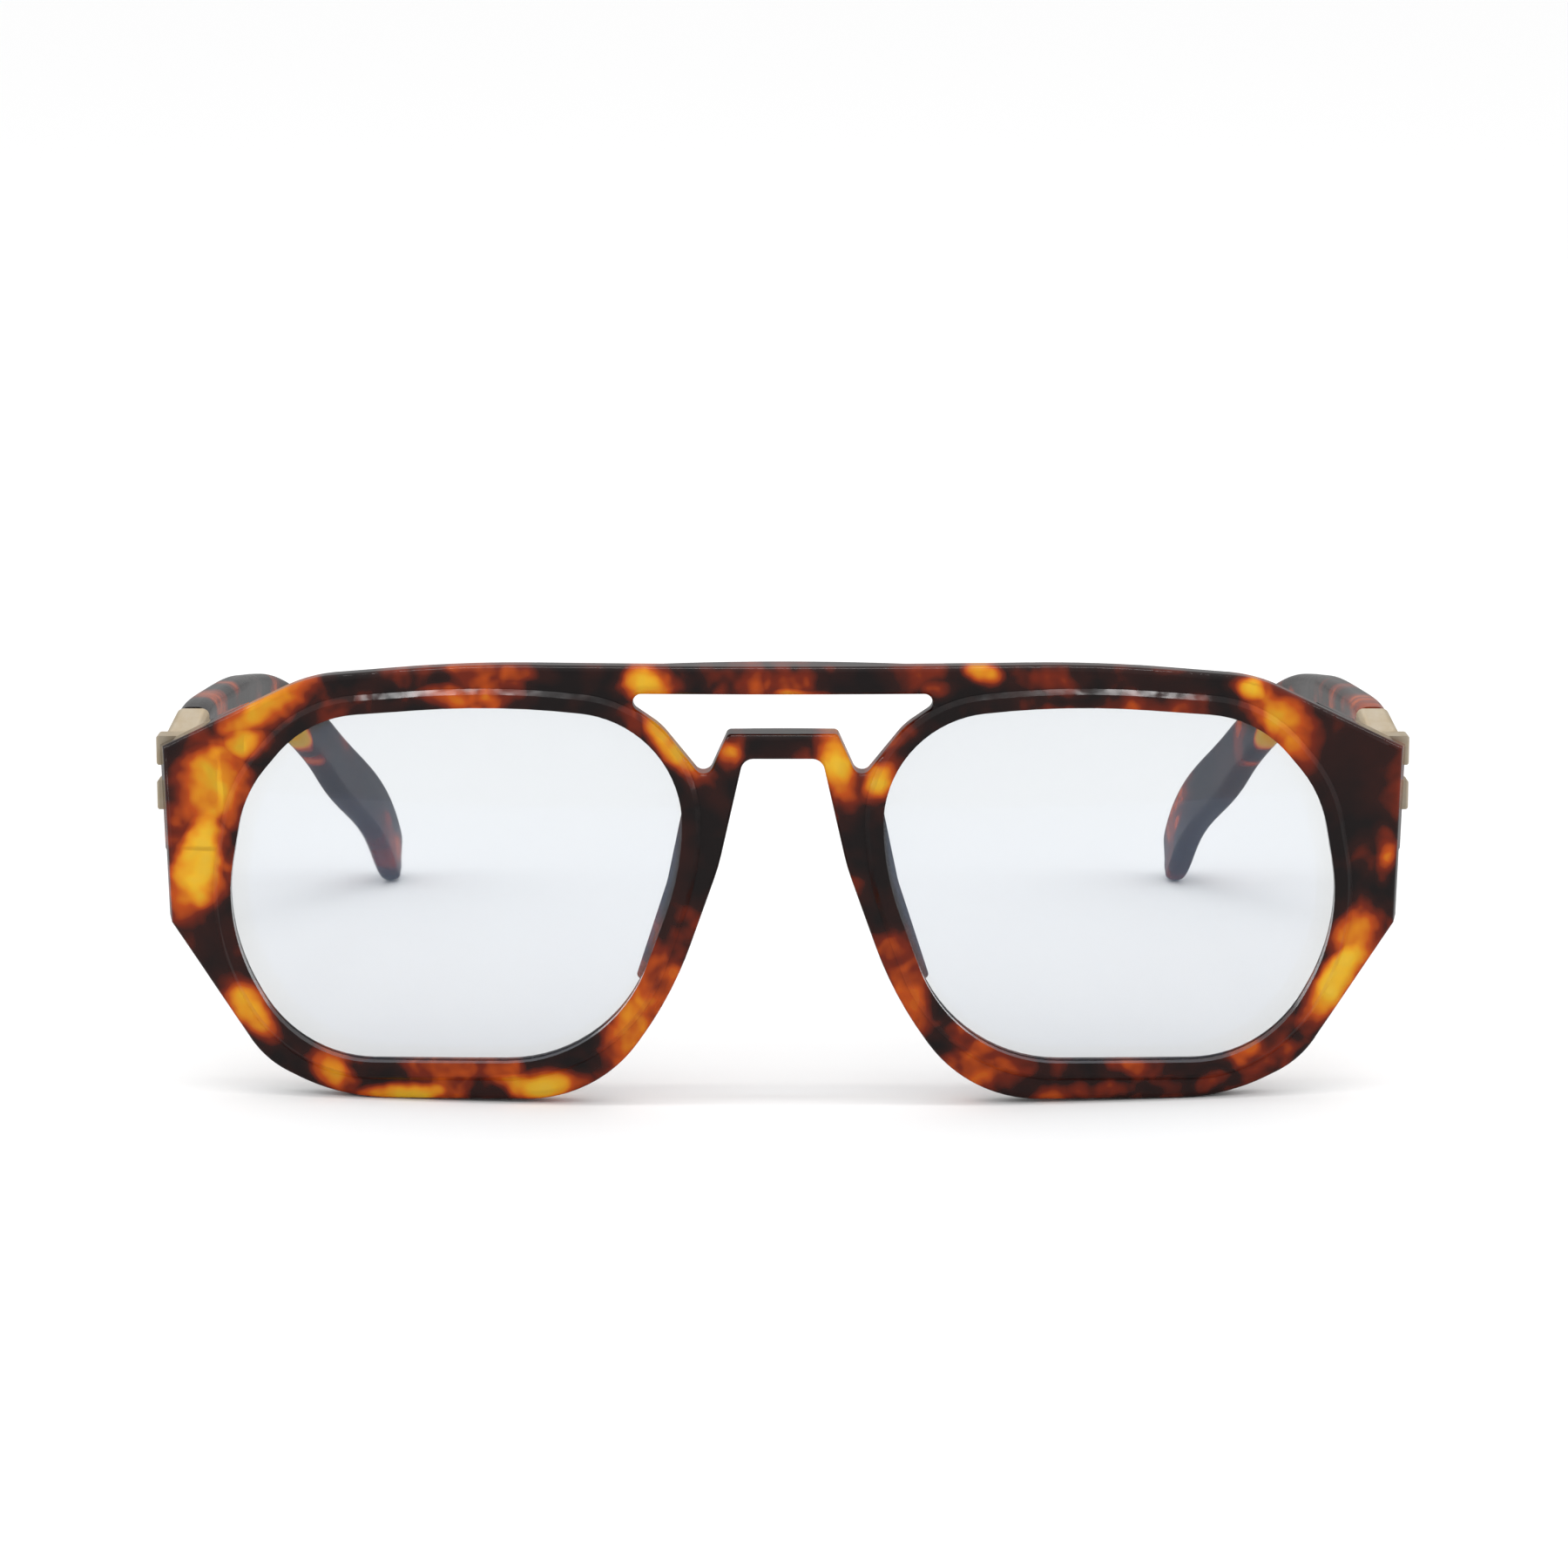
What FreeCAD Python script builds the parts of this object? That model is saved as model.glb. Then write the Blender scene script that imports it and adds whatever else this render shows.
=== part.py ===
"""Spectacles: a bowed acetate front with a double bridge, two glazed rims and two folding temples.

The model stands as worn glasses stand on a table: on the lower rims and the temple tips, +Z up,
lenses towards -Y, temples towards +Y.  The wearer's left is +X.  Sizes are in millimetres.

The front is drawn upright ("front frame") and the whole is then leaned back by LEAN about X, so
that the rims and the temple tips touch the table together.  The left half is built, and the right
half is its mirror image.
"""
import FreeCAD, Part
import math
import os

V = FreeCAD.Vector

# ---- blanks and cutters, which reach past the object ----
BLANK_BOTTOM = -8.0
BLANK_HEIGHT = 70.0
BLANK_SIDE = 90.0
COLUMN_NEAR = -2.0            # the front's outline is extruded from here
COLUMN_FAR = 14.0             # to here

# ---- the front: outlines are (x, z, corner radius), x measured from the middle ----
OUTLINE = [(37.0, 52.0, 165.0), (55.6, 50.1, 18.0), (74.6, 40.55, 0.6), (74.6, 23.2, 0.6),
           (61.4, 3.9, 11.0), (52.5, -0.2, 24.0), (22.0, 0.3, 16.5), (13.0, 12.8, 46.0),
           (7.5, 28.3, 25.0), (4.6, 41.1, 1.5)]
NOTCH = [(19.7, 48.7, 1.0), (14.1, 44.9, 8.0), (9.0, 38.4, 1.1), (6.4, 44.1, 0.6)]
APERTURE = [(33.1, 47.5, 99.0), (55.6, 45.4, 14.0), (63.3, 36.2, 15.0), (66.3, 20.1, 22.6),
            (57.2, 4.2, 15.0), (20.2, 5.0, 18.0), (11.9, 27.7, 32.0), (11.4, 45.3, 13.0)]
SIDE_TOP = (72.9, 41.4)       # front corners of the straight outer end of the front
SIDE_FOOT = (72.2, 19.7)
SIDE_FLARE = 1.1              # the end widens by this much from its front to its back

FACE_RADIUS = 320.0           # the front is bowed about a vertical axis
FRONT_THICKNESS = 4.4         # from the rims' raised face to the back
BEAD_RISE = 0.8               # how far the raised band round each lens stands proud
BEAD_WIDTH = 2.2
BEAD_CHAMFER = 0.6
BEAD_ROOT = 0.6               # how deep the band reaches into the plate behind it
BRIDGE_DEPTH = 6.2            # the middle of the front is thicker
BRIDGE_BACK_RADIUS = 60.0
BRIDGE_START = 2.4
BRIDGE_ROUND_REACH = 19.5     # the thicker bridge is rounded this far from the middle
BRIDGE_EDGE_ROUND = 0.8
FRONT_EDGE_ROUND = 0.7
BACK_EDGE_ROUND = 1.0
LEAN = 1.5                    # degrees

# ---- the end pieces (lugs) and their hinges, upright front frame ----
LUG_BACK = 13.4               # y of the flat that the temple closes on
LUG_INNER = 66.0
LUG_FOOT = 28.5
LUG_START = 10.5
LUG_RAMP = 3.0                # the lug's inner side slopes outward by this much
LUG_HEIGHT = 20.0
LUG_OUTSIDE = 76.0
LUG_EDGE_ROUND = 0.5
POCKET = (66.3, 33.2, 40.4)   # inner x, bottom z and top z of the pocket milled for the hinge
POCKET_DEPTH = 1.6
POCKET_CORNER = 1.6
POCKET_OUTER_CORNER = 0.3
POCKET_LIP = 0.1              # the pocket ends this far inside the temple head
PIVOT = (68.4, 14.8)          # x, y of the hinge axis
BARREL_RADIUS = 1.1
PIN_RADIUS = 0.55
PIN_CLEARANCE = 0.05
HINGE_MIDDLE = 36.5           # z of the middle of the hinge
MIDDLE_KNUCKLE = 1.0          # height of the temple's knuckle
OUTER_KNUCKLE = 1.6           # height of each of the front's two knuckles
KNUCKLE_GAP = 0.05
LEAF_THICKNESS = 0.9
FRONT_LEAF_MARGIN = 0.3       # between the front's leaf and the sides of its pocket
FRONT_LEAF_HALF = 2.9         # half the height of the front's leaf
RIVET_SETBACK = 0.95          # from the pocket's inner side
RIVET_SPREAD = 1.9            # each rivet is this far above or below the hinge's middle
RIVET_HEAD_RADIUS = 0.76
PIN_FOOT = 0.2                # how far the pivot screw shows under the lowest knuckle
SCREW_HEAD_RADIUS = 1.04
SLOT_HALF_WIDTH = 0.16
SLOT_DEPTH = 0.33
RIVET_RADIUS = 0.45
RIVET_DEPTH = 1.8
RIVET_HEAD = 0.35
SCREW_HEAD = 0.6
TEMPLE_LEAF_HALF = 2.5        # half the height of the temple's leaf
TEMPLE_LEAF_LEAD = 0.5        # how far it reaches in front of the pivot
TEMPLE_LEAF_MARGIN = 0.4      # and how far it ends before the head's step
WEB_LEAD = 0.45
WEB_BITE = 0.2
SCREW_SPREAD = 1.6
LEAF_SCREW_HEAD_RADIUS = 0.68

# ---- the lens ----
LENS_CENTRE = (38.5, 25.6)
LENS_RADIUS = 130.0
LENS_THICKNESS = 2.0
LENS_APEX_DEPTH = -0.3        # its middle is this far behind the rims' face (before it: negative)
LENS_BITE = 0.7               # how deep the lens sits in its groove
LENS_CLEARANCE = 0.05

# ---- nose pads ----
PAD_BASE = [(10.4, 35.2, 1.0), (12.4, 25.6, 14.0), (16.3, 13.6, 1.0), (13.9, 12.9, 1.0),
            (9.9, 23.5, 16.0), (7.3, 33.6, 1.2)]
PAD_SHIFT = 1.9               # the pads spread outward towards the face
PAD_SHRINK = 0.5
PAD_REACH = 4.6
PAD_ROUND = 0.4
PAD_OVERLAP = 0.1             # the pad's blank starts this far inside the rims' back
GLUE_LINE = 0.02              # the gap that the bond fills

# ---- temple head: the metal end of the temple ----
HEAD_FRONT = 13.48
HEAD_STEP = 16.9
HEAD_BACK = 20.2
HEAD_INNER = 69.75
HEAD_OUTER = 73.65
HEAD_BACK_INNER = 68.75
HEAD_BACK_OUTER = 72.7
HEAD_BOTTOM = 33.0
HEAD_TOP = 41.85
HEAD_BACK_TOP = 44.1
HEAD_BACK_BOTTOM = 32.3
BAR_RISE = 0.8
BAR_HEIGHT = 3.5
BAR_ROUND = 0.35
BAR_SEAT = 0.7
BAR_SETBACK = 0.1
HEAD_ROUND = 0.6
HEAD_BACK_ROUND = 0.9

# ---- temple: stations of its middle line as it stands, (x, y, z, height, thickness, roll) ----
TEMPLE = [(70.70, 21.6, 38.0, 11.4, 3.90, 0.0), (70.55, 33.0, 38.0, 10.4, 3.90, 0.0),
          (69.90, 46.0, 37.5, 9.3, 3.80, 0.0), (69.20, 60.0, 36.5, 8.2, 3.70, 0.0),
          (68.50, 73.0, 34.9, 7.2, 3.50, 2.0), (67.30, 84.0, 32.8, 6.5, 3.30, 4.0),
          (65.30, 94.5, 28.7, 6.9, 3.20, 7.0), (62.60, 104.5, 22.6, 7.9, 3.10, 10.0),
          (59.40, 114.0, 15.6, 8.9, 3.05, 12.0), (56.70, 121.5, 9.4, 9.2, 3.00, 13.0)]
TIP_CENTRE = (55.5, 125.6, 4.25)
TIP_REACH = 4.4
TIP_SHARES = (0.0, 0.4, 0.7, 0.88, 0.97)
TIP_LEAST_THICKNESS = 0.55    # share of the tip's thickness left at its very end
SECTION_ROUND = 0.38
CORE_SECTION = (1.2, 2.6)
CORE_CLEARANCE = 0.03
MIDDLE_DEPTH = 65.2           # from the front's face back to the origin
TABLE_LIFT = 0.29             # lifts the lowest points of the rims to z = 0
CORE_END = 8                  # the core wire stops at this station


def rounded_wire(points):
    """A closed outline in the XZ plane with each corner rounded to its own radius."""
    count = len(points)
    ends = []
    for i, (x, z, radius) in enumerate(points):
        corner = V(x, 0, z)
        back = (V(points[i - 1][0], 0, points[i - 1][1]) - corner).normalize()
        ahead = (V(points[(i + 1) % count][0], 0, points[(i + 1) % count][1]) - corner).normalize()
        half = back.getAngle(ahead) / 2
        reach = radius / math.tan(half)
        middle = corner + (back + ahead).normalize() * (radius / math.sin(half) - radius)
        ends.append((corner + back * reach, middle, corner + ahead * reach))
    edges = []
    for i in range(count):
        start, middle, end = ends[i]
        following = ends[(i + 1) % count][0]
        edges.append(Part.Arc(start, middle, end).toShape())
        if (following - end).Length > 1e-4:
            edges.append(Part.LineSegment(end, following).toShape())
    return Part.Wire(edges)


def grown(points, distance):
    """The outline moved outward by a distance, corner radii included."""
    count = len(points)
    area = sum(points[i - 1][0] * points[i][1] - points[i][0] * points[i - 1][1]
               for i in range(count))
    turn = 1 if area > 0 else -1
    sides = []
    for i in range(count):
        x0, z0 = points[i][:2]
        x1, z1 = points[(i + 1) % count][:2]
        length = math.hypot(x1 - x0, z1 - z0)
        across = (turn * (z1 - z0) / length * distance, turn * (x0 - x1) / length * distance)
        sides.append((x0 + across[0], z0 + across[1], x1 - x0, z1 - z0))
    result = []
    for i in range(count):
        ax, az, adx, adz = sides[i - 1]
        bx, bz, bdx, bdz = sides[i]
        cross = adx * bdz - adz * bdx
        along = ((bx - ax) * bdz - (bz - az) * bdx) / cross
        convex = cross * turn > 0
        radius = points[i][2] + (distance if convex else -distance)
        result.append((ax + adx * along, az + adz * along, max(radius, 0.05)))
    return result


def both_halves(half):
    """A closed outline from its +x half, listed from the top middle to the bottom middle."""
    return half + [(-x, z, radius) for x, z, radius in reversed(half)]


def prism(points, near=-10.0, far=40.0):
    """An outline extruded along Y."""
    face = Part.Face(rounded_wire(points))
    face.translate(V(0, near, 0))
    return face.extrude(V(0, far - near, 0))


def blank_cylinder(radius, middle_y):
    """An upright cylinder taller than the front."""
    return Part.makeCylinder(radius, BLANK_HEIGHT, V(0, middle_y, BLANK_BOTTOM), V(0, 0, 1))


def bowed_slab(near, far):
    """Everything between two depths behind the front's face."""
    outer = blank_cylinder(FACE_RADIUS - near, FACE_RADIUS)
    return outer.cut(blank_cylinder(FACE_RADIUS - far, FACE_RADIUS))


def depth(point):
    """How far a point lies behind the front's bowed face."""
    return FACE_RADIUS - math.hypot(point.x, point.y - FACE_RADIUS)


def edges_at(shape, level, measure=depth):
    """The edges of a shape that lie wholly at one level."""
    found = []
    for edge in shape.Edges:
        span = edge.LastParameter - edge.FirstParameter
        samples = [edge.valueAt(edge.FirstParameter + span * k) for k in (0.1, 0.5, 0.9)]
        if all(abs(measure(p) - level) < 1e-3 for p in samples):
            found.append(edge)
    return found


def mirrored(shape):
    """The same piece on the other side of the middle."""
    return shape.mirror(V(0, 0, 0), V(1, 0, 0))


def box(x0, x1, y0, y1, z0, z1):
    """A block between two values of each of x, y and z."""
    return Part.makeBox(x1 - x0, y1 - y0, z1 - z0, V(x0, y0, z0))


def upright_cylinder(radius, z0, z1):
    """A cylinder on the hinge axis."""
    return Part.makeCylinder(radius, z1 - z0, V(PIVOT[0], PIVOT[1], z0), V(0, 0, 1))


def extruded_polygon(corners, direction):
    """A flat polygon swept along a direction."""
    wire = Part.makePolygon(corners + corners[:1])
    return Part.Face(wire).extrude(direction)


def lens_solid(extra=0.0):
    """The lens, or with extra the groove that takes it."""
    x, z = LENS_CENTRE
    across = math.asin(x / FACE_RADIUS)
    outward = V(math.sin(across), -math.cos(across), 0)
    to_apex = FACE_RADIUS - LENS_APEX_DEPTH
    middle = V(0, FACE_RADIUS, z) + outward * (to_apex - LENS_RADIUS)
    outer = Part.makeSphere(LENS_RADIUS + extra, middle)
    inner = Part.makeSphere(LENS_RADIUS - LENS_THICKNESS - extra, middle)
    outline = prism(grown(APERTURE, LENS_BITE + extra), -4.0, 14.0)
    return outline.common(outer).cut(inner)


def end_flare_cutter():
    """What lies outside the slanted outer end of the left half of the front."""
    y0 = FACE_RADIUS - math.sqrt(FACE_RADIUS ** 2 - SIDE_TOP[0] ** 2)
    y1 = LUG_BACK
    slope = SIDE_FLARE / (y1 - y0)
    lift = (SIDE_TOP[0] - SIDE_FOOT[0]) / (SIDE_TOP[1] - SIDE_FOOT[1])

    def side(y, z):
        return SIDE_TOP[0] + (y - y0) * slope + (z - SIDE_TOP[1]) * lift

    near = COLUMN_NEAR - 1.0
    far = COLUMN_FAR + 1.0
    low = BLANK_BOTTOM
    high = BLANK_BOTTOM + BLANK_HEIGHT
    corners = [V(side(near, low), near, low), V(side(far, low), far, low),
               V(side(far, high), far, high), V(side(near, high), near, high)]
    return extruded_polygon(corners, V(BLANK_SIDE, 0, 0))


def front_column():
    """The front's outline as a deep block with its flared ends cut."""
    flare = end_flare_cutter()
    column = prism(both_halves(OUTLINE), COLUMN_NEAR, COLUMN_FAR)
    column = column.cut(prism(both_halves(NOTCH)))
    return column.cut(flare.fuse(mirrored(flare)))


def front_blank():
    """The front's bowed plate, with its thicker bridge and the flats that the temples close on."""
    column = front_column()
    plate = column.common(bowed_slab(BEAD_RISE, FRONT_THICKNESS))
    plate = plate.makeFillet(FRONT_EDGE_ROUND, edges_at(plate, BEAD_RISE))
    plate = plate.makeFillet(BACK_EDGE_ROUND, edges_at(plate, FRONT_THICKNESS))
    bridge_middle = BRIDGE_DEPTH - BRIDGE_BACK_RADIUS
    before = box(-BLANK_SIDE, BLANK_SIDE, bridge_middle - BRIDGE_BACK_RADIUS - 1, BRIDGE_START,
                 BLANK_BOTTOM - 1, BLANK_BOTTOM + BLANK_HEIGHT + 1)
    bridge = blank_cylinder(BRIDGE_BACK_RADIUS, bridge_middle).cut(before).common(column)
    bridge_back = edges_at(bridge, BRIDGE_BACK_RADIUS,
                           lambda p: math.hypot(p.x, p.y - bridge_middle))
    bridge_back = [edge for edge in bridge_back if abs(edge.CenterOfMass.x) < BRIDGE_ROUND_REACH]
    bridge = bridge.makeFillet(BRIDGE_EDGE_ROUND, bridge_back)
    lug_plan = [V(LUG_INNER - LUG_RAMP, LUG_START, LUG_FOOT), V(LUG_INNER, LUG_BACK, LUG_FOOT),
                V(LUG_OUTSIDE, LUG_BACK, LUG_FOOT), V(LUG_OUTSIDE, LUG_START, LUG_FOOT)]
    lug = extruded_polygon(lug_plan, V(0, 0, LUG_HEIGHT)).common(column)
    lug = lug.makeFillet(LUG_EDGE_ROUND, edges_at(lug, LUG_BACK, lambda p: p.y))
    return plate.fuse([bridge, lug, mirrored(lug)]).removeSplitter()


def bead():
    """The raised band round the left lens, its outer edge chamfered."""
    band = prism(grown(APERTURE, BEAD_WIDTH)).common(bowed_slab(0.0, BEAD_RISE + BEAD_ROOT))
    band = band.makeChamfer(BEAD_CHAMFER, edges_at(band, 0.0))
    return band.cut(prism(APERTURE))


def knuckle_levels():
    """z of the bottom and top of the lower, middle and upper knuckle."""
    half = MIDDLE_KNUCKLE / 2
    start = HINGE_MIDDLE - half - KNUCKLE_GAP
    end = HINGE_MIDDLE + half + KNUCKLE_GAP
    return [(start - OUTER_KNUCKLE, start), (HINGE_MIDDLE - half, HINGE_MIDDLE + half),
            (end, end + OUTER_KNUCKLE)]


def knuckle(levels, foot_x, foot_y):
    """One barrel of the hinge with the web that joins it to its leaf, bored for the pin."""
    z0, z1 = levels
    barrel = upright_cylinder(BARREL_RADIUS, z0, z1)
    web = box(foot_x[0], foot_x[1], foot_y[0], foot_y[1], z0, z1)
    bore = upright_cylinder(PIN_RADIUS + PIN_CLEARANCE, z0 - 1, z1 + 1)
    return barrel.fuse(web).cut(bore)


def hinge_pocket():
    """The recess milled into the flat of the left lug, where the front's hinge leaf lies."""
    inner, bottom, top = POCKET
    floor = LUG_BACK - POCKET_DEPTH
    outer = HEAD_INNER - POCKET_LIP
    corners = [(inner, bottom, POCKET_CORNER), (inner, top, POCKET_CORNER),
               (outer, top, POCKET_OUTER_CORNER), (outer, bottom, POCKET_OUTER_CORNER)]
    return prism(corners, floor, LUG_BACK + POCKET_DEPTH)


def front_leaf():
    """The hinge leaf of the front: a plate in the pocket with two knuckles."""
    floor = LUG_BACK - POCKET_DEPTH
    plate = box(POCKET[0] + FRONT_LEAF_MARGIN, HEAD_INNER - POCKET_LIP - FRONT_LEAF_MARGIN,
                floor, floor + LEAF_THICKNESS,
                HINGE_MIDDLE - FRONT_LEAF_HALF, HINGE_MIDDLE + FRONT_LEAF_HALF)
    levels = knuckle_levels()
    reach_x = (PIVOT[0] - BARREL_RADIUS, PIVOT[0] + BARREL_RADIUS / 2)
    reach_y = (floor + LEAF_THICKNESS / 2, PIVOT[1])
    leaf = plate.fuse([knuckle(levels[0], reach_x, reach_y), knuckle(levels[2], reach_x, reach_y)])
    bore = upright_cylinder(PIN_RADIUS + PIN_CLEARANCE, levels[0][0] - 1, levels[2][1] + 1)
    return leaf.cut(front_rivets() + [bore]).removeSplitter()


def rivet_places():
    """x and z of the two rivets of the front's leaf."""
    x = POCKET[0] + RIVET_SETBACK
    return [(x, HINGE_MIDDLE - RIVET_SPREAD), (x, HINGE_MIDDLE + RIVET_SPREAD)]


def front_rivets():
    """Two rivets that hold the front's leaf; their shanks end inside the acetate."""
    floor = LUG_BACK - POCKET_DEPTH
    rivets = []
    for x, z in rivet_places():
        shank = Part.makeCylinder(RIVET_RADIUS, RIVET_DEPTH + LEAF_THICKNESS,
                                  V(x, floor - RIVET_DEPTH, z), V(0, 1, 0))
        head = Part.makeCylinder(RIVET_HEAD_RADIUS, RIVET_HEAD,
                                 V(x, floor + LEAF_THICKNESS, z), V(0, 1, 0))
        rivets.append(shank.fuse(head).removeSplitter())
    return rivets


def hinge_screw():
    """The pivot screw: a shank through the three knuckles under a slotted head."""
    levels = knuckle_levels()
    seat = levels[2][1]
    shank = upright_cylinder(PIN_RADIUS, levels[0][0] - PIN_FOOT, seat)
    head = upright_cylinder(SCREW_HEAD_RADIUS, seat, seat + SCREW_HEAD)
    slot = box(PIVOT[0] - BARREL_RADIUS, PIVOT[0] + BARREL_RADIUS,
               PIVOT[1] - SLOT_HALF_WIDTH, PIVOT[1] + SLOT_HALF_WIDTH,
               seat + SCREW_HEAD - SLOT_DEPTH, seat + SCREW_HEAD)
    return shank.fuse(head).cut(slot).removeSplitter()


def front_frame():
    """The whole acetate front, with its windows, lens grooves, hinge pockets and rivet holes."""
    band = bead()
    blank = front_blank().fuse(band).fuse(mirrored(band))
    tools = [prism(APERTURE), lens_solid(LENS_CLEARANCE), hinge_pocket()] + front_rivets()
    tools += [mirrored(tool) for tool in tools]
    return blank.cut(tools).removeSplitter()


def nose_pad(front):
    """An acetate pad bonded behind the nasal rim, spreading outward towards the face."""
    base_y = FRONT_THICKNESS - PAD_OVERLAP
    far = [(x + PAD_SHIFT, z, radius) for x, z, radius in grown(PAD_BASE, -PAD_SHRINK)]
    base = rounded_wire(PAD_BASE)
    base.translate(V(0, base_y, 0))
    top = rounded_wire(far)
    top.translate(V(0, base_y + PAD_REACH, 0))
    pad = Part.makeLoft([base, top], True, True)
    rim = edges_at(pad, base_y + PAD_REACH, lambda p: p.y)
    pad = pad.makeFillet(PAD_ROUND, rim).cut(front)
    pad.translate(V(0, GLUE_LINE, 0))
    return pad


def rounded_section(y, x_range, z_range, radius):
    """A rounded rectangle across the temple at one distance back."""
    (x0, x1), (z0, z1) = x_range, z_range
    wire = rounded_wire([(x0, z0, radius), (x0, z1, radius), (x1, z1, radius), (x1, z0, radius)])
    wire.translate(V(0, y, 0))
    return wire


def temple_head():
    """The metal end of the temple: a block that steps up to the height of the temple."""
    front = ((HEAD_INNER, HEAD_OUTER), (HEAD_BOTTOM, HEAD_TOP), HEAD_ROUND)
    back = ((HEAD_BACK_INNER, HEAD_BACK_OUTER), (HEAD_BACK_BOTTOM, HEAD_BACK_TOP), HEAD_BACK_ROUND)
    sections = [rounded_section(HEAD_FRONT, *front), rounded_section(HEAD_STEP, *front),
                rounded_section(HEAD_BACK, *back)]
    return Part.makeLoft(sections, True, True)


def trim_bars():
    """Two small raised blocks let into the outer face of the temple head."""
    bars = []
    for top in (HEAD_TOP, HEAD_BOTTOM + BAR_HEIGHT):
        bar = box(HEAD_OUTER - BAR_SEAT, HEAD_OUTER + BAR_RISE, HEAD_FRONT + BAR_SETBACK,
                  HEAD_STEP, top - BAR_HEIGHT, top)
        outer = edges_at(bar, HEAD_OUTER + BAR_RISE, lambda p: p.x)
        bars.append(bar.makeFillet(BAR_ROUND, outer))
    return bars


def temple_leaf():
    """The hinge leaf of the temple: a plate let into the head's inner side, with one knuckle."""
    plate = box(HEAD_INNER, HEAD_INNER + LEAF_THICKNESS,
                PIVOT[1] - TEMPLE_LEAF_LEAD, HEAD_STEP - TEMPLE_LEAF_MARGIN,
                HINGE_MIDDLE - TEMPLE_LEAF_HALF, HINGE_MIDDLE + TEMPLE_LEAF_HALF)
    middle = knuckle(knuckle_levels()[1], (PIVOT[0], HEAD_INNER + WEB_BITE),
                     (PIVOT[1] - WEB_LEAD, PIVOT[1] + BARREL_RADIUS))
    return plate.fuse(middle).cut(leaf_screws()).removeSplitter()


def leaf_screws():
    """Two flush screws that hold the temple's leaf to its head."""
    y = (PIVOT[1] + HEAD_STEP) / 2
    screws = []
    for z in (HINGE_MIDDLE - SCREW_SPREAD, HINGE_MIDDLE + SCREW_SPREAD):
        start = V(HEAD_INNER, y, z)
        shank = Part.makeCylinder(RIVET_RADIUS, LEAF_THICKNESS + RIVET_DEPTH, start, V(1, 0, 0))
        head = Part.makeCylinder(LEAF_SCREW_HEAD_RADIUS, RIVET_HEAD, start, V(1, 0, 0))
        screws.append(shank.fuse(head).removeSplitter())
    return screws


def temple_section(centre, ahead, height, thickness, roll):
    """A rounded cross-section of the temple, square to its path."""
    across = ahead.cross(V(0, 0, 1)).normalize()
    upward = across.cross(ahead).normalize()
    turn = math.radians(roll)
    up = upward * math.cos(turn) + across * math.sin(turn)
    side = ahead.cross(up).normalize()
    radius = thickness * SECTION_ROUND
    diagonal = radius * (1 - math.sqrt(0.5))

    def place(u, v):
        return centre + side * u + up * v

    arcs = []
    for right, top in ((1, 1), (-1, 1), (-1, -1), (1, -1)):
        u = right * thickness / 2
        v = top * height / 2
        on_side = place(u, v - top * radius)
        on_end = place(u - right * radius, v)
        middle = place(u - right * diagonal, v - top * diagonal)
        arcs.append((on_side, middle, on_end) if right == top else (on_end, middle, on_side))
    edges = []
    for i, arc in enumerate(arcs):
        edges.append(Part.Arc(*arc).toShape())
        edges.append(Part.LineSegment(arc[2], arcs[(i + 1) % len(arcs)][0]).toShape())
    return Part.Wire(edges)


def temple_path():
    """Centres of the temple's stations and the direction of the temple at each."""
    centres = [V(x, y, z) for x, y, z, *_ in TEMPLE] + [V(*TIP_CENTRE)]
    ahead = [V(0, 1, 0)]
    for i in range(1, len(centres) - 1):
        ahead.append((centres[i + 1] - centres[i - 1]).normalize())
    ahead.append((centres[-1] - centres[-2]).normalize())
    return centres, ahead


def temple_blank():
    """The acetate temple: it tapers to the bend and widens to a rounded paddle."""
    centres, ahead = temple_path()
    sections = [temple_section(centres[i], ahead[i], *TEMPLE[i][3:]) for i in range(len(TEMPLE))]
    height, thickness, roll = TEMPLE[-1][3:]
    for share in TIP_SHARES:
        size = math.sqrt(1 - share ** 2)
        place = centres[-1] + ahead[-1] * (TIP_REACH * share)
        sections.append(temple_section(place, ahead[-1], height * size,
                                       thickness * max(size, TIP_LEAST_THICKNESS), roll))
    return Part.makeLoft(sections, True, False)


def core_wire(extra=0.0):
    """The flat wire inside the temple, or with extra the slot that it lies in."""
    centres, ahead = temple_path()
    width, height = CORE_SECTION
    sections = []
    for i in range(CORE_END + 1):
        sections.append(temple_section(centres[i], ahead[i], height + 2 * extra,
                                       width + 2 * extra, TEMPLE[i][5]))
    return Part.makeLoft(sections, True, False)


def placed(shape):
    """A shape moved so that the origin is under the middle of the whole object."""
    moved = shape.copy()
    moved.translate(V(0, -MIDDLE_DEPTH, TABLE_LIFT))
    return moved


def stood(shape):
    """An upright shape leaned back as the front stands."""
    leaned = shape.copy()
    leaned.rotate(V(0, 0, 0), V(1, 0, 0), -LEAN)
    return placed(leaned)


def left_parts(front):
    """Every piece of the left half but the front, named without its side, as it stands."""
    bars = trim_bars()
    leaf = temple_leaf()
    screws = leaf_screws()
    head = temple_head().cut(bars + [leaf] + screws)
    upright = {"lens": [lens_solid()], "nose_pad": [nose_pad(front)],
               "front_hinge_leaf": [front_leaf()], "front_rivets": front_rivets(),
               "hinge_screw": [hinge_screw()], "temple_head": [head], "trim_bars": bars,
               "temple_hinge_leaf": [leaf], "leaf_screws": screws}
    parts = {name: [stood(piece) for piece in pieces] for name, pieces in upright.items()}
    parts["temple"] = [placed(temple_blank().cut(core_wire(CORE_CLEARANCE)))]
    parts["temple_core"] = [placed(core_wire())]
    return parts


def save(name, pieces):
    """Writes a part's solids to one STEP file."""
    shape = pieces[0] if len(pieces) == 1 else Part.makeCompound(pieces)
    shape.exportStep("parts/" + name + ".step")


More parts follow.
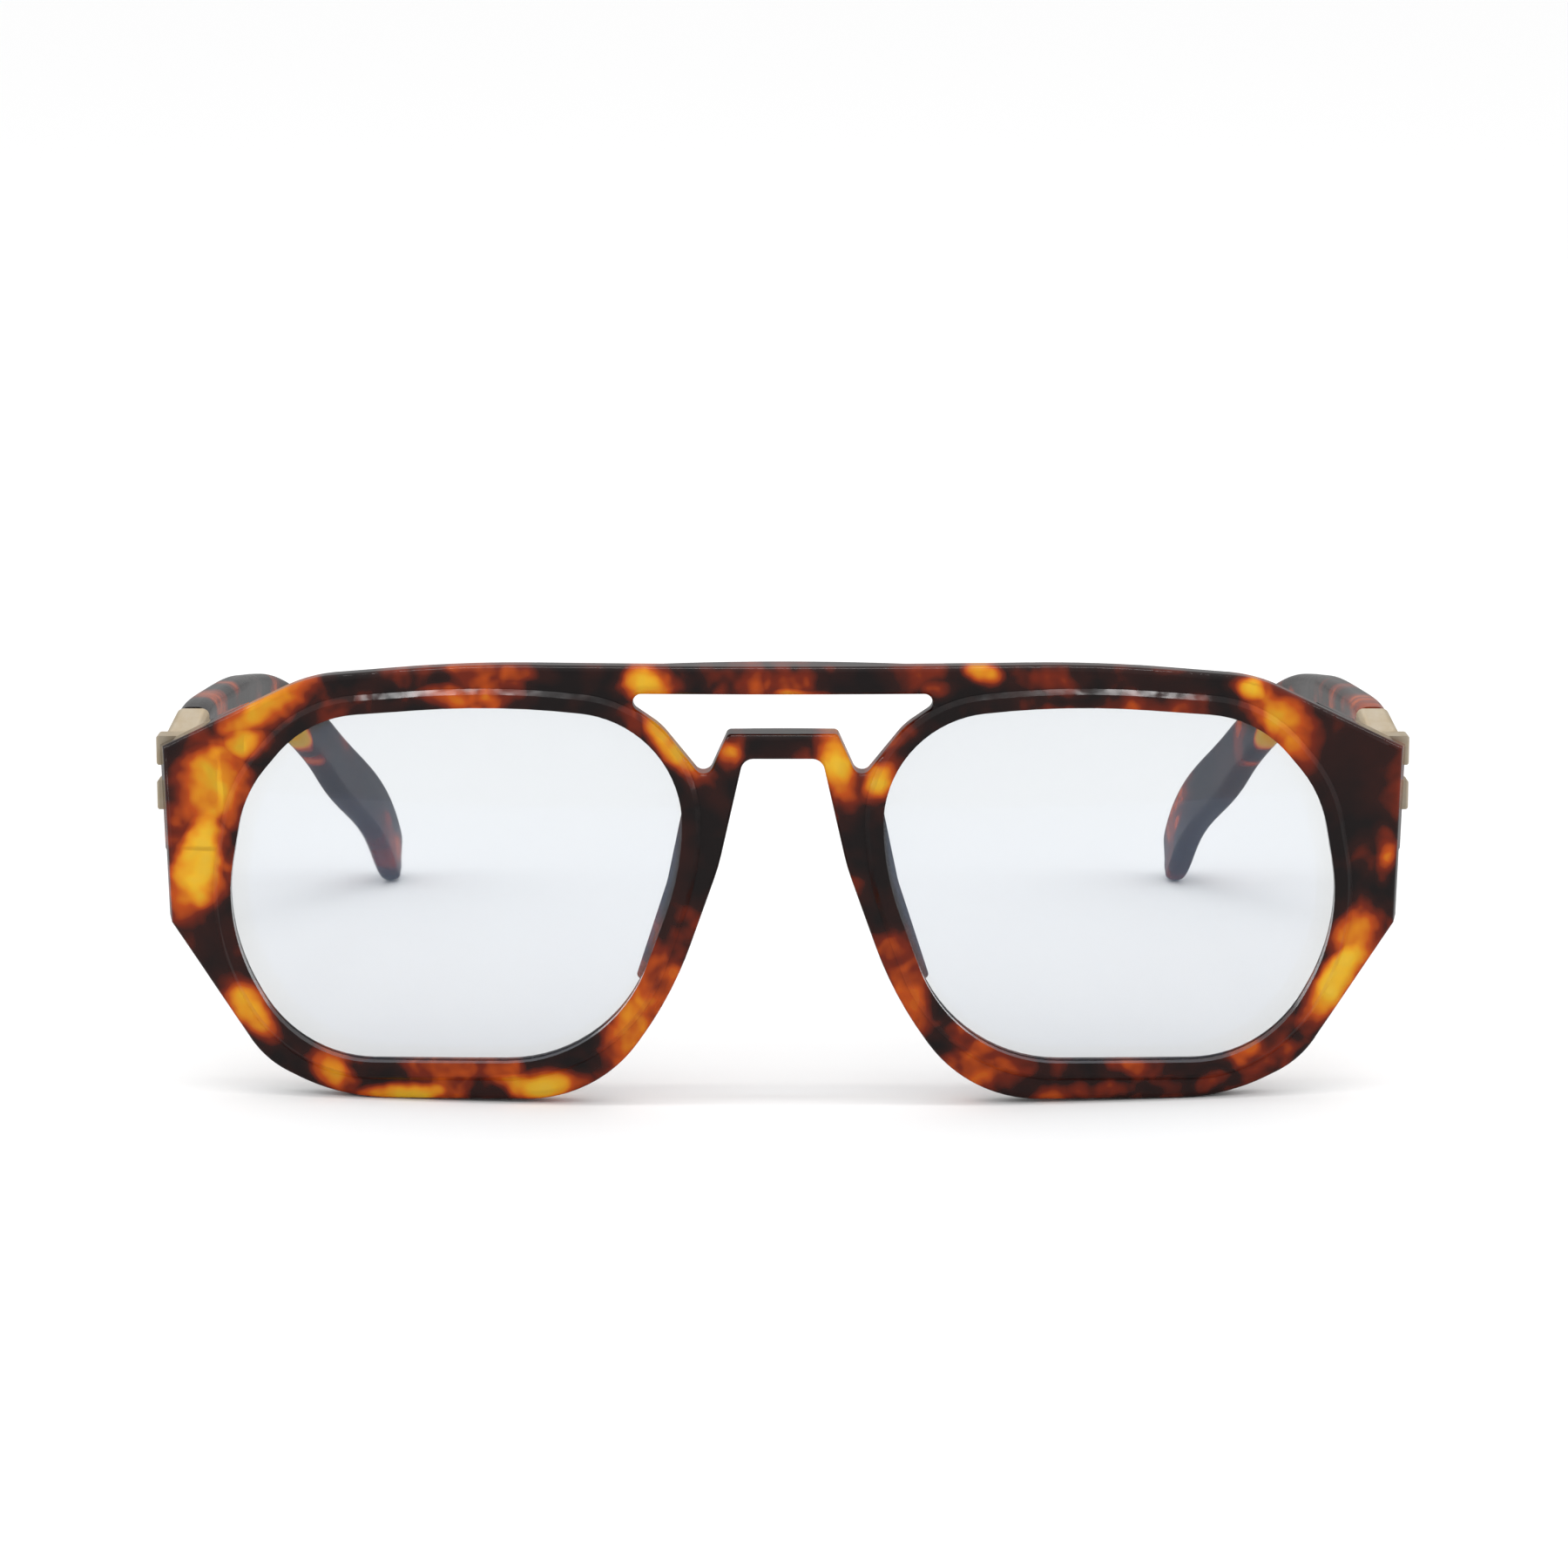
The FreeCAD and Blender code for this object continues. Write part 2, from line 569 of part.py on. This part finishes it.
os.makedirs("parts", exist_ok=True)
upright_front = front_frame()
save("front_frame", [stood(upright_front)])
for part_name, left_pieces in left_parts(upright_front).items():
    save(part_name + "_left", left_pieces)
    save(part_name + "_right", [mirrored(piece) for piece in left_pieces])
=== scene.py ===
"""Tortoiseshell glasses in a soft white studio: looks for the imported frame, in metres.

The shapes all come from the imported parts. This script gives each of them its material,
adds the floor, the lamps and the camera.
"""
import math

import bpy
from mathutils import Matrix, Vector

MILLIMETRE = 0.001

# The surround is dimmer at the horizon than overhead, and reflections show it dimmer still.
HORIZON_STRENGTH = 0.75
OVERHEAD_STRENGTH = 1.2
OVERHEAD_HEIGHT = 0.9         # height of the sky's direction where it is brightest
MIRRORED_SHARE = 0.45         # share of the surround's light that reflections show

FLOOR_SIZE = 40.0
FLOOR_GREY = 0.93
MIRRORED_FLOOR_PAINTED_SHADE = 0.26    # the floor as polished surfaces mirror it: a painted shade, not the paper's own grey

LAMP_AIM = (0.0, 0.0, 0.02)
LAMPS = [                     # name, place, size and power
    ("overhead_box", (0.0, -0.12, 0.9), (0.7, 0.05), 1.3),
    ("left_strip", (-0.8, -0.1, 0.4), (0.04, 0.5), 0.8),
    ("right_strip", (0.8, -0.1, 0.4), (0.04, 0.5), 0.8),
]

CAMERA_PLACE = (0.00015, -0.6652, 0.1591)
CAMERA_TILT = 78.67           # degrees from straight down
CAMERA_LENS = 121.0
CAMERA_SENSOR = 36.0
CAMERA_NEAR = 0.01

# Depth of a patch straight through the sheet: the front's across Y, a temple's across X.
FRONT_PATCH_DEPTH = 60.0
TEMPLE_PATCH_DEPTH = 160.0
DRIFT = 3.0                   # how far noise moves the patches' edges, in millimetres

# Colours of the acetate from the darkest part of the shell to the lightest, with how warm
# a place is for each.
SHELL_COLOURS = [
    (0.00, (0.0060, 0.0030, 0.0030)),
    (0.20, (0.0240, 0.0050, 0.0035)),
    (0.38, (0.1600, 0.0150, 0.0030)),
    (0.54, (0.5200, 0.0750, 0.0035)),
    (0.70, (0.8400, 0.2900, 0.0080)),
    (0.84, (0.9500, 0.5200, 0.0220)),
    (1.00, (1.0000, 0.6400, 0.0500)),
]

# Warm patches in the front: middle (x, z), half length, half width, turn in degrees
# anticlockwise as seen from the front, and how warm the patch is. Millimetres.
FRONT_PATCHES = [
    (-61, 46.5, 6.3, 2.3, 33, 0.85),
    (-63.5, 42, 2.5, 2.3, 0, 0.95),
    (-67, 37, 4.6, 4.2, 90, 0.95),
    (-69, 27.5, 7.1, 3, 80, 1.05),
    (-63.5, 11, 4.6, 2.1, -52, 1),
    (-53, 3.5, 3, 2.3, -40, 0.8),
    (-44.5, 1.2, 5.1, 1.3, 0, 1.1),
    (-29, 2.2, 4.8, 1.6, 0, 1.1),
    (-17.5, 10, 7.5, 2.9, 62, 0.85),
    (-33, 51, 5, 1.3, 0, 0.6),
    (-36.5, 48.2, 6, 1.2, 4, 0.7),
    (-16, 50.5, 3.2, 2.2, 0, 1.05),
    (-13, 44, 7.1, 1.7, -55, 1),
    (-6, 42.5, 2.3, 1.4, 60, 0.8),
    (6.7, 40.5, 4.6, 2.5, -68, 1.15),
    (11.3, 39, 2.8, 1.6, 60, 1.05),
    (0.7, 50.5, 4.5, 2, 0, 0.6),
    (2, 49.2, 4, 0.8, 0, 0.8),
    (17.5, 49.7, 1.8, 1.3, 0, 0.65),
    (23, 51.2, 2.3, 1.2, -30, 0.95),
    (31, 50, 4.5, 1.8, 0, 0.5),
    (55, 49, 2.5, 1.3, -20, 1.05),
    (59.5, 44.5, 6.7, 2.9, -48, 0.9),
    (71, 29, 3, 1.3, 90, 0.75),
    (65.5, 14, 6, 2.2, 56, 1.15),
    (68, 18.5, 3.7, 3.1, 60, 0.8),
    (25, 6, 5.5, 3, -40, 0.6),
    (37, 1.6, 5.5, 1.3, 0, 0.45),
    (51, 2, 3, 1.2, 10, 0.5),
]

# The same for a temple: middle (y, z), half length, half width, turn and warmth.
TEMPLE_PATCHES = [
    (-34, 39, 7.0, 1.6, -12, 0.7),
    (-14, 36, 5.0, 2.0, -20, 0.75),
    (2, 32, 4.0, 1.4, 15, 0.7),
    (15, 33, 4.0, 1.2, -30, 0.7),
    (27, 27, 3.4, 1.7, -45, 0.85),
    (33, 21, 2.2, 1.2, 20, 0.7),
    (56, 9, 2.2, 1.2, -40, 0.5),
]

# Places in the front that stay near black whatever lies round them.
FRONT_DARKS = [
    (67, 38.5, 9.0, 5.0, 90, 0.85),
    (-67, 16.5, 5.0, 3.5, 60, 0.8),
    (10, 50.3, 5.0, 1.6, 0, 0.9),
    (45, 50, 6.0, 1.8, 0, 0.8),
    (-24, 50.5, 3.5, 1.5, 0, 0.8),
    (-11, 29, 8.0, 2.6, 75, 0.8),
    (11, 29, 8.0, 2.6, -75, 0.7),
    (0, 43, 4.0, 1.4, 0, 0.7),
]
TEMPLE_DARKS = [
    (45, 14, 9.0, 4.5, -45, 0.8),
    (-28, 36, 6.0, 2.5, 0, 0.7),
]


class Tree:
    """Short calls for building a material from nodes."""

    def __init__(self, name):
        self.material = bpy.data.materials.new(name)
        self.material.use_nodes = True
        self.nodes = self.material.node_tree.nodes
        self.links = self.material.node_tree.links
        self.nodes.clear()
        self.output = self.nodes.new("ShaderNodeOutputMaterial")
        self.shader = self.nodes.new("ShaderNodeBsdfPrincipled")
        self.link(self.shader.outputs["BSDF"], self.output.inputs["Surface"])

    def link(self, source, target):
        self.links.new(source, target)

    def set(self, node, **inputs):
        """Gives a node's inputs, by name with _ for a space, a value or another node's output."""
        for name, value in inputs.items():
            socket = node.inputs[name.replace("_", " ")]
            if isinstance(value, bpy.types.NodeSocket):
                self.link(value, socket)
            else:
                socket.default_value = value
        return node

    def add(self, kind, settings=None, **inputs):
        node = self.nodes.new("ShaderNode" + kind)
        for name, value in (settings or {}).items():
            setattr(node, name, value)
        return self.set(node, **inputs)

    def math(self, operation, first, second):
        """Works out one number from two, each a value or another node's output."""
        node = self.add("Math", {"operation": operation})
        for socket, value in zip(node.inputs, (first, second)):
            if isinstance(value, bpy.types.NodeSocket):
                self.link(value, socket)
            else:
                socket.default_value = value
        return node.outputs[0]

    def vector(self, operation, first, second=None, scale=None):
        """Works on one or two vectors; LENGTH gives a number."""
        node = self.add("VectorMath", {"operation": operation})
        self.link(first, node.inputs[0])
        if isinstance(second, bpy.types.NodeSocket):
            self.link(second, node.inputs[1])
        elif second is not None:
            node.inputs[1].default_value = second
        if scale is not None:
            node.inputs["Scale"].default_value = scale
        return node.outputs["Value" if operation == "LENGTH" else "Vector"]

    def place(self):
        """Where the surface is in the part's own frame, in millimetres."""
        spot = self.add("TexCoord").outputs["Object"]
        return self.vector("SCALE", spot, scale=1 / MILLIMETRE)

    def noise(self, place, scale, detail=2.0, roughness=0.5, output="Fac"):
        node = self.add("TexNoise", Vector=place, Scale=scale, Detail=detail,
                        Roughness=roughness)
        return node.outputs[output]

    def between(self, value, low, high, to_low=0.0, to_high=1.0, smooth=False):
        """Maps low..high to to_low..to_high and holds it there outside."""
        settings = {"interpolation_type": "SMOOTHSTEP"} if smooth else None
        node = self.add("MapRange", settings, Value=value, From_Min=low, From_Max=high,
                        To_Min=to_low, To_Max=to_high)
        return node.outputs["Result"]

    def ramp(self, value, stops):
        node = self.add("ValToRGB", Fac=value)
        elements = node.color_ramp.elements
        while len(elements) < len(stops):
            elements.new(0.5)
        for element, (position, colour) in zip(elements, stops):
            element.position = position
            element.color = (*colour, 1.0)
        return node.outputs["Color"]

    def bump(self, height, distance, strength=1.0):
        node = self.add("Bump", Height=height, Distance=distance, Strength=strength)
        return node.outputs["Normal"]


def patch_warmth(tree, place, patches, across):
    """How far a place lies in any of the warm patches, which run straight through the sheet."""
    total = None
    for first, up, length, width, turn, warmth in patches:
        if across == "Y":
            middle = (first, 0.0, up)
            spin = (0.0, -math.radians(turn), 0.0)
            size = (length, FRONT_PATCH_DEPTH, width)
        else:
            middle = (0.0, first, up)
            spin = (math.radians(turn), 0.0, 0.0)
            size = (TEMPLE_PATCH_DEPTH, length, width)
        local = tree.add("Mapping", {"vector_type": "TEXTURE"}, Vector=place,
                         Location=middle, Rotation=spin, Scale=size)
        distance = tree.vector("LENGTH", local.outputs["Vector"])
        inside = tree.between(distance, 2.1, 0.6, 0.0, warmth, smooth=True)
        total = inside if total is None else tree.math("MAXIMUM", total, inside)
    return total


def acetate(name, patches, darks, across):
    """Polished tortoiseshell sheet: warm clear patches in near black, with redder edges."""
    tree = Tree(name)
    place = tree.place()
    through = (1.0, 0.2, 1.0) if across == "Y" else (0.2, 1.0, 1.0)
    sheet = tree.vector("MULTIPLY", place, through)
    swirl = tree.noise(sheet, scale=0.13, detail=1.0, roughness=0.4, output="Color")
    drift = tree.vector("SUBTRACT", swirl, (0.5, 0.5, 0.5))
    drift = tree.vector("SCALE", drift, scale=DRIFT)
    wavy = tree.vector("ADD", sheet, drift)
    moved = tree.vector("ADD", place, drift)
    warmth = patch_warmth(tree, moved, patches, across)

    cloud = tree.noise(wavy, scale=0.12, detail=1.0, roughness=0.4)
    cloud = tree.between(cloud, 0.42, 0.64, to_high=0.46)
    speck = tree.noise(wavy, scale=0.45, detail=1.0, roughness=0.4)
    speck = tree.between(speck, 0.3, 0.7, to_low=-0.1, to_high=0.1)
    warmth = tree.math("ADD", tree.math("MAXIMUM", warmth, cloud), speck)
    shade = tree.math("SUBTRACT", 1.0, patch_warmth(tree, moved, darks, across))
    warmth = tree.math("MULTIPLY", warmth, shade)

    haze = tree.noise(place, scale=0.35, detail=4.0, roughness=0.6)
    ripple = tree.noise(place, scale=0.22)
    tree.set(
        tree.shader,
        Base_Color=tree.ramp(warmth, SHELL_COLOURS),
        Roughness=tree.between(haze, 0.3, 0.7, to_low=0.05, to_high=0.13),
        Transmission_Weight=tree.between(warmth, 0.4, 0.95, to_high=0.5),
        IOR=1.48,
        Specular_IOR_Level=0.5,
        Normal=tree.bump(ripple, 0.05 * MILLIMETRE),
    )
    return tree.material


def lens_glass():
    """Clear lens with a bluish coat: a faint blue veil over what lies behind it."""
    tree = Tree("lens_coated")
    place = tree.place()
    wipe = tree.noise(place, scale=0.05, detail=3.0, roughness=0.55)
    tree.set(
        tree.shader,
        Base_Color=(0.76, 0.79, 0.83, 1.0),
        Roughness=tree.between(wipe, 0.35, 0.7, to_high=0.03),
        Transmission_Weight=0.965,
        IOR=1.5,
        Specular_IOR_Level=1.0,
        Specular_Tint=(0.30, 0.50, 1.0, 1.0),
    )
    lamp_way = tree.add("BsdfTransparent", Color=(0.90, 0.93, 0.96, 1.0))
    rays = tree.add("LightPath")
    mix = tree.add("MixShader", Fac=rays.outputs["Is Shadow Ray"])
    tree.link(tree.shader.outputs["BSDF"], mix.inputs[1])
    tree.link(lamp_way.outputs["BSDF"], mix.inputs[2])
    tree.link(mix.outputs["Shader"], tree.output.inputs["Surface"])
    return tree.material


def metal(name, colour, worn, rough, grain_along, grain_depth, metallic=1.0):
    """Plated or plain metal with a fine drawn grain and paler, duller handled places."""
    tree = Tree(name)
    place = tree.place()
    stretched = tree.add("Mapping", Vector=place, Scale=grain_along).outputs["Vector"]
    grain = tree.noise(stretched, scale=1.0, detail=3.0, roughness=0.6)
    handled = tree.noise(place, scale=0.6, detail=3.0, roughness=0.6)
    wear = tree.math("MULTIPLY", tree.math("ADD", grain, handled), 0.5)
    tint = tree.ramp(tree.between(handled, 0.35, 0.7), [(0.0, colour), (1.0, worn)])
    low, high = rough
    tree.set(
        tree.shader,
        Base_Color=tint,
        Metallic=metallic,
        Roughness=tree.between(wear, 0.3, 0.7, low, high),
        Normal=tree.bump(grain, grain_depth * MILLIMETRE, 0.6),
    )
    return tree.material


def floor_material():
    """Matt white paper with a fine tooth; reflections see it in a painted shade, so polished
    surfaces mirror it as a shaded table.
    """
    tree = Tree("floor_paper")
    place = tree.place()
    # Painted shade: for rays mirrored off polished surfaces the floor's colour turns dark grey.
    rays = tree.add("LightPath")
    seen_straight = tree.math("SUBTRACT", 1.0, rays.outputs["Is Transmission Ray"])
    reflection_shade_mask = tree.math("MULTIPLY", rays.outputs["Is Glossy Ray"], seen_straight)
    greys = [(0.0, (FLOOR_GREY,) * 3), (1.0, (MIRRORED_FLOOR_PAINTED_SHADE,) * 3)]
    tree.set(
        tree.shader,
        Base_Color=tree.ramp(reflection_shade_mask, greys),
        Roughness=0.9,
        Specular_IOR_Level=0.1,
        Normal=tree.bump(tree.noise(place, scale=1.5, detail=3.0), 0.01 * MILLIMETRE),
    )
    return tree.material


def paint(materials):
    """Puts each material on the nodes whose names start with its key."""
    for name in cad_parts:
        node = bpy.data.objects[name]
        key = max((k for k in materials if name.startswith(k)), key=len)
        node.data.materials.clear()
        node.data.materials.append(materials[key])


def area_lamp(name, place, size, power):
    """A white rectangular softbox turned towards the glasses."""
    data = bpy.data.lights.new(name, "AREA")
    data.shape = "RECTANGLE"
    data.size, data.size_y = size
    data.energy = power
    lamp = bpy.data.objects.new(name, data)
    lamp.location = place
    direction = Vector(LAMP_AIM) - Vector(place)
    lamp.rotation_euler = direction.to_track_quat("-Z", "Y").to_euler()
    bpy.context.scene.collection.objects.link(lamp)


def surround():
    """A white surround, brighter overhead than at the horizon and dimmer in reflections."""
    world = bpy.data.worlds.new("studio_white")
    world.use_nodes = True
    nodes = world.node_tree.nodes
    sky = nodes.new("ShaderNodeTexCoord")
    height = nodes.new("ShaderNodeSeparateXYZ")
    fade = nodes.new("ShaderNodeMapRange")
    fade.inputs["From Max"].default_value = OVERHEAD_HEIGHT
    fade.inputs["To Min"].default_value = HORIZON_STRENGTH
    fade.inputs["To Max"].default_value = OVERHEAD_STRENGTH
    rays = nodes.new("ShaderNodeLightPath")
    dimmed = nodes.new("ShaderNodeMapRange")
    dimmed.inputs["To Min"].default_value = 1.0
    dimmed.inputs["To Max"].default_value = MIRRORED_SHARE
    strength = nodes.new("ShaderNodeMath")
    strength.operation = "MULTIPLY"
    links = world.node_tree.links
    links.new(sky.outputs["Generated"], height.inputs["Vector"])
    links.new(height.outputs["Z"], fade.inputs["Value"])
    links.new(rays.outputs["Is Glossy Ray"], dimmed.inputs["Value"])
    links.new(fade.outputs["Result"], strength.inputs[0])
    links.new(dimmed.outputs["Result"], strength.inputs[1])
    links.new(strength.outputs["Value"], nodes["Background"].inputs["Strength"])
    nodes["Background"].inputs["Color"].default_value = (1.0, 1.0, 1.0, 1.0)
    bpy.context.scene.world = world


def studio():
    """The surround, a big paper floor, a softbox overhead and a strip on each side."""
    surround()
    bpy.ops.mesh.primitive_plane_add(size=FLOOR_SIZE, location=(0.0, 0.0, 0.0))
    floor = bpy.context.object
    floor.name = "studio_floor"
    floor.data.materials.append(floor_material())
    for lamp in LAMPS:
        area_lamp(*lamp)


def camera():
    """A long lens a little above the glasses, looking along +Y and slightly down."""
    data = bpy.data.cameras.new("camera")
    data.lens = CAMERA_LENS
    data.sensor_width = CAMERA_SENSOR
    data.clip_start = CAMERA_NEAR
    viewer = bpy.data.objects.new("camera", data)
    viewer.location = CAMERA_PLACE
    viewer.rotation_euler = (math.radians(CAMERA_TILT), 0.0, 0.0)
    bpy.context.scene.collection.objects.link(viewer)
    bpy.context.scene.camera = viewer


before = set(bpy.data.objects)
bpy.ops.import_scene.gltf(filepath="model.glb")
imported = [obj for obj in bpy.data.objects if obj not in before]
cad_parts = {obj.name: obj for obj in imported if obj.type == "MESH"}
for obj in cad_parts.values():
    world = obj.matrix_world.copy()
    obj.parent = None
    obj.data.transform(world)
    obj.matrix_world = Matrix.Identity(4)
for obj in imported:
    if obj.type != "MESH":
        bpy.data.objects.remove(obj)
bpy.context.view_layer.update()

gold = metal("gold_satin", colour=(0.56, 0.46, 0.32), worn=(0.62, 0.54, 0.42), rough=(0.42, 0.54),
             grain_along=(4.0, 0.35, 4.0), grain_depth=0.012, metallic=0.6)
nickel = metal("hinge_nickel", colour=(0.62, 0.56, 0.47), worn=(0.70, 0.66, 0.60),
               rough=(0.22, 0.36), grain_along=(3.0, 0.4, 3.0), grain_depth=0.01)
steel = metal("screw_steel", colour=(0.55, 0.55, 0.56), worn=(0.66, 0.66, 0.67),
              rough=(0.18, 0.34), grain_along=(1.5, 1.5, 6.0), grain_depth=0.01)
core = metal("core_wire_steel", colour=(0.50, 0.50, 0.50), worn=(0.60, 0.59, 0.57),
             rough=(0.30, 0.45), grain_along=(4.0, 0.3, 4.0), grain_depth=0.01)
front_shell = acetate("tortoise_front", FRONT_PATCHES, FRONT_DARKS, "Y")
temple_shell = acetate("tortoise_temple", TEMPLE_PATCHES, TEMPLE_DARKS, "X")
paint({
    "front_frame": front_shell,
    "nose_pad": front_shell,
    "temple": temple_shell,
    "temple_head": gold,
    "trim_bars": gold,
    "front_rivets": gold,
    "front_hinge_leaf": nickel,
    "temple_hinge_leaf": nickel,
    "hinge_screw": steel,
    "leaf_screws": steel,
    "temple_core": core,
    "lens": lens_glass(),
})

studio()
camera()
bpy.context.scene.view_settings.view_transform = "Standard"
